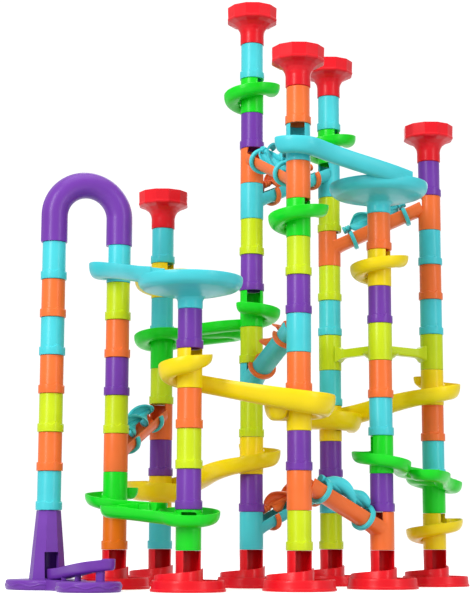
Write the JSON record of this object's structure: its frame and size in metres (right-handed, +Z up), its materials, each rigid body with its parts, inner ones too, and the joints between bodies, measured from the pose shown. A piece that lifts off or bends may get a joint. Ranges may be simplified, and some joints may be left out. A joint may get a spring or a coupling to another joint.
{
  "type": "marble run",
  "caption": "Tall marble run of plug-together tubes on round trays, with slides, chutes, spirals, dishes, funnels and screw spinners that turn as marbles pass.",
  "frame": {"origin": "middle of the bounding box in plan, on the surface that the trays stand on", "axes": "+Z up along the tubes, +X along the row of columns, -Y towards the side that is seen first"},
  "size_m": [0.5062, 0.3044, 0.658],
  "materials": {
    "red": "moulded gloss",
    "purple": "moulded gloss",
    "yellow": "moulded gloss",
    "green": "moulded gloss",
    "orange": "moulded gloss",
    "teal": "moulded gloss",
    "lime": "moulded gloss",
    "amber": "moulded gloss"
  },
  "bodies": {
    "run": {"base_c2": "red", "base_c3": "red", "base_c4": "red", "base_c5": "red", "base_c6": "red", "base_c7": "red", "base_c8": "red", "base_c9": "red", "launch_tower": "purple", "funnel_c3": "red", "funnel_c5": "red", "funnel_c6": "red", "funnel_c7": "red", "funnel_c9": "red", "spiral_c3": "yellow", "spiral_c5": "green", "spiral_c6": "green", "spiral_c7": "green", "spiral_c8": "yellow", "spiral_c9": "yellow", "slide_c4_c6_l3": "yellow", "slide_c5_c3_l1": "yellow", "slide_c9_c7_l3": "yellow", "slide_c2_c4_l0": "green", "slide_c5_c3_l5": "green", "slide_c8_c9_l1": "green", "chute_c3_c2_l2": "orange", "chute_c6_c8_l0": "orange", "chute_c5_c6_l9": "orange", "chute_c9_c7_l8": "orange", "chute_c7_c5_l0": "teal", "chute_c6_c5_l4": "teal", "chute_c7_c5_l9": "teal", "dish_c2_c4": "teal", "dish_c6_c8": "teal", "brace": "lime", "u_bend": "purple", "tubes_c1_l1": "teal", "tubes_c2_l0": "amber", "tubes_c2_l3": "lime", "tubes_c3_l8": "teal", "tubes_c4_l1": "purple", "tubes_c5_l7": "purple", "tubes_c5_l13": "teal", "tubes_c6_l6": "purple", "tubes_c6_l11": "orange", "tubes_c7_l6": "teal", "tubes_c7_l12": "teal", "tubes_c8_l1": "purple", "tubes_c8_l3": "teal", "tubes_c9_l2": "teal", "tubes_c9_l6": "teal", "tubes_c9_l10": "purple"},
    "screw_c3_c2_l2": {"spinner_c3_c2_l2": "teal"},
    "screw_c6_c8_l0": {"spinner_c6_c8_l0": "teal"},
    "screw_c5_c6_l9": {"spinner_c5_c6_l9": "teal"},
    "screw_c9_c7_l8": {"spinner_c9_c7_l8": "teal"},
    "screw_c7_c5_l0": {"spinner_c7_c5_l0": "orange"},
    "screw_c6_c5_l4": {"spinner_c6_c5_l4": "orange"},
    "screw_c7_c5_l9": {"spinner_c7_c5_l9": "orange"}
  },
  "joints": [
    {"name": "spin_c3_c2_l2", "type": "hinge", "parent": "run", "child": "screw_c3_c2_l2", "pos_m": [-0.12154, 0.03626, 0.18188], "axis": [-0.3329, -0.8516, -0.4049], "continuous": true},
    {"name": "spin_c6_c8_l0", "type": "hinge", "parent": "run", "child": "screw_c6_c8_l0", "pos_m": [0.10499, -0.02605, 0.09988], "axis": [0.7166, 0.568, -0.4049], "continuous": true},
    {"name": "spin_c5_c6_l9", "type": "hinge", "parent": "run", "child": "screw_c5_c6_l9", "pos_m": [0.03232, -0.01851, 0.46888], "axis": [0.3777, -0.8327, -0.4049], "continuous": true},
    {"name": "spin_c9_c7_l8", "type": "hinge", "parent": "run", "child": "screw_c9_c7_l8", "pos_m": [0.14999, 0.10859, 0.42788], "axis": [-0.91, 0.0892, -0.4049], "continuous": true},
    {"name": "spin_c7_c5_l0", "type": "hinge", "parent": "run", "child": "screw_c7_c5_l0", "pos_m": [0.0467, 0.07335, 0.09988], "axis": [-0.7166, -0.568, -0.4049], "continuous": true},
    {"name": "spin_c6_c5_l4", "type": "hinge", "parent": "run", "child": "screw_c6_c5_l4", "pos_m": [0.0272, -0.00723, 0.26388], "axis": [-0.3777, 0.8327, -0.4049], "continuous": true},
    {"name": "spin_c7_c5_l9", "type": "hinge", "parent": "run", "child": "screw_c7_c5_l9", "pos_m": [0.0467, 0.07335, 0.46888], "axis": [-0.7166, -0.568, -0.4049], "continuous": true}
  ]
}
